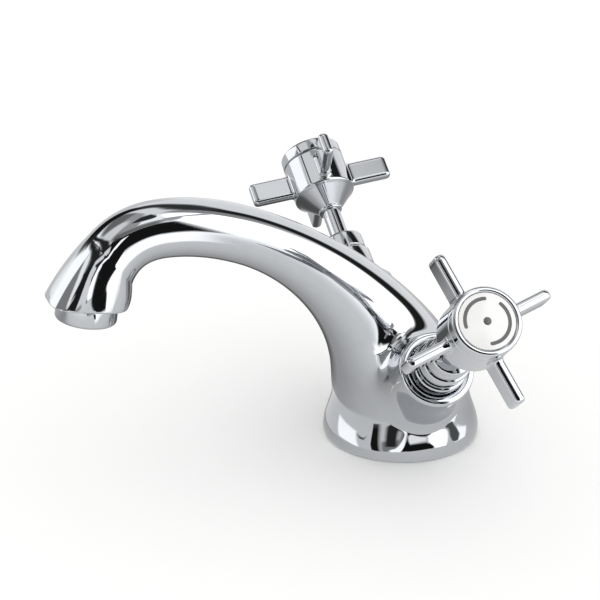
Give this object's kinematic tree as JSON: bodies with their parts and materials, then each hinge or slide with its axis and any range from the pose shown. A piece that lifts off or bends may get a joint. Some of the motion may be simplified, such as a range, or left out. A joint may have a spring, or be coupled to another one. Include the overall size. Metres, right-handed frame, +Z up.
{
  "type": "basin mixer tap",
  "caption": "Deck-mounted basin mixer tap with a swan spout and two crosshead handles on angled valve horns.",
  "frame": {"origin": "centre of the foot at the deck, which is the mouth of the threaded hole for the fixing stud", "axes": "+Z up from the deck, -Y along the spout towards the user, +X towards the cold handle"},
  "size_m": [0.1888, 0.1514, 0.0953],
  "materials": {
    "chrome_casting": "polished",
    "chrome_trim": "polished",
    "brass": "turned",
    "seal_rubber": "matt",
    "disc_ceramic": "lapped",
    "aerator_plastic": "moulded",
    "index_enamel": "glossy"
  },
  "bodies": {
    "tap": {"body": "chrome_casting", "foot_seal": "seal_rubber", "aerator_washer": "seal_rubber", "aerator_housing": "chrome_trim", "aerator_insert": "aerator_plastic", "aerator_screen": "brass", "cold_seat_seal": "seal_rubber", "cold_fixed_disc": "disc_ceramic", "cold_valve_housing": "brass", "cold_shroud": "chrome_trim", "hot_seat_seal": "seal_rubber", "hot_fixed_disc": "disc_ceramic", "hot_valve_housing": "brass", "hot_shroud": "chrome_trim"},
    "cold_handle": {"cold_crosshead": "chrome_trim", "cold_handle_screw": "brass", "cold_index_bezel": "chrome_trim", "cold_index": "index_enamel", "cold_spindle": "chrome_trim", "cold_spindle_rings": "seal_rubber", "cold_circlip": "brass", "cold_turning_disc": "disc_ceramic"},
    "hot_handle": {"hot_crosshead": "chrome_trim", "hot_handle_screw": "brass", "hot_index_bezel": "chrome_trim", "hot_index": "index_enamel", "hot_spindle": "chrome_trim", "hot_spindle_rings": "seal_rubber", "hot_circlip": "brass", "hot_turning_disc": "disc_ceramic"}
  },
  "joints": [
    {"name": "cold_handle_turn", "type": "hinge", "parent": "tap", "child": "cold_handle", "pos_m": [0, 0, 0.0104], "axis": [0.792, -0.0471, 0.6088], "range_deg": [-90, 0]},
    {"name": "hot_handle_turn", "type": "hinge", "parent": "tap", "child": "hot_handle", "pos_m": [0, 0, 0.0104], "axis": [-0.792, -0.0471, 0.6088], "range_deg": [0, 90]}
  ]
}
